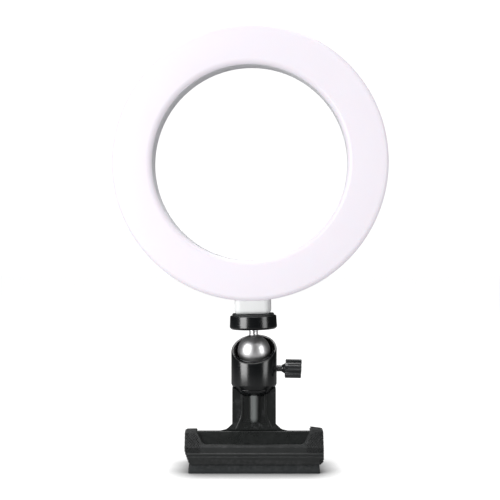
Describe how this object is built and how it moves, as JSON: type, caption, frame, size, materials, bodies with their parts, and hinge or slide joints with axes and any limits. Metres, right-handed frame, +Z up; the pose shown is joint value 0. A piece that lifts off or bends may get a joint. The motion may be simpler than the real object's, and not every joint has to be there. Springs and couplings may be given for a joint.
{
  "type": "clip-on ring light",
  "caption": "White ring lamp with a milky diffuser on a small lockable ball head, carried by a wide black spring clamp with rubber-faced jaws that also stands as a foot.",
  "frame": {"origin": "on the underside of the front jaw's rubber foot, directly below the ball head's axis", "axes": "+Z up along the post, -Y is the side the lamp faces, +X to the right as seen from the front"},
  "size_m": [0.1605, 0.0631, 0.2574],
  "materials": {
    "white_shell": "fine satin moulded",
    "milky_diffuser": "milky, lit from behind",
    "board_white": "white solder mask",
    "led_cool": "clear resin",
    "led_warm": "yellow phosphor resin",
    "neck_white": "satin moulded",
    "steel": "zinc plated",
    "spring_steel": "drawn wire",
    "blackened_steel": "black oxide",
    "brass_insert": "turned",
    "grommet_rubber": "soft matt",
    "socket_nylon": "natural nylon",
    "satin_ball": "satin turned",
    "black_anodised": "gloss black anodised",
    "black_rubber": "matt",
    "seat_acetal": "slick",
    "knob_plastic": "satin moulded",
    "clamp_plastic": "satin moulded",
    "grip_rubber": "diamond textured",
    "pad_rubber": "smooth matt"
  },
  "bodies": {
    "clamp_base": {"clamp_front": "clamp_plastic", "front_grip": "grip_rubber", "front_pad": "pad_rubber", "mount_screw": "steel", "mount_washer": "steel", "hinge_pin": "steel", "pin_clips": "spring_steel", "torsion_spring": "spring_steel", "ball_housing": "black_anodised", "base_plug": "black_anodised", "lock_plug": "brass_insert"},
    "squeeze_lever": {"rear_lever": "clamp_plastic", "rear_pad": "pad_rubber", "handle_grip": "grip_rubber"},
    "ball_seat": {"lower_seat": "seat_acetal"},
    "ball": {"ball_stud": "satin_ball", "head_platform": "black_anodised", "platform_pad": "black_rubber"},
    "ring": {"ring_back_shell": "white_shell", "ring_diffuser": "milky_diffuser", "led_board": "board_white", "leds_cool": "led_cool", "leds_warm": "led_warm", "board_screws": "steel", "neck_block": "neck_white", "neck_screws": "steel", "thread_insert": "brass_insert", "cable_grommet": "grommet_rubber", "lead_socket": "socket_nylon"},
    "lock_knob": {"lock_screw": "blackened_steel", "wing_knob": "knob_plastic"}
  },
  "joints": [
    {"name": "clamp_squeeze", "type": "hinge", "parent": "clamp_base", "child": "squeeze_lever", "pos_m": [0, 0.01, 0.029], "axis": [1, 0, 0], "range_deg": [0, 30], "stiffness_Nm_per_rad": 0.9, "springref_deg": -20.05, "deforming": ["torsion_spring"]},
    {"name": "ball_pan", "type": "hinge", "parent": "clamp_base", "child": "ball_seat", "pos_m": [0, 0, 0.068], "axis": [0, 0, 1], "range_deg": [-45, 45]},
    {"name": "ball_tilt", "type": "hinge", "parent": "ball_seat", "child": "ball", "pos_m": [0, 0, 0.068], "axis": [0.9903, -0.1392, 0], "range_deg": [-15, 55]},
    {"name": "ring_swivel", "type": "hinge", "parent": "ball", "child": "ring", "pos_m": [-0.00248, 0, 0.17737], "axis": [-0.0227, 0, 0.9997], "continuous": true},
    {"name": "lock_turn", "type": "hinge", "parent": "clamp_base", "child": "lock_knob", "pos_m": [0.0198, -0.00278, 0.0581], "axis": [0.9903, -0.1392, 0], "range_deg": [0, 540]}
  ]
}
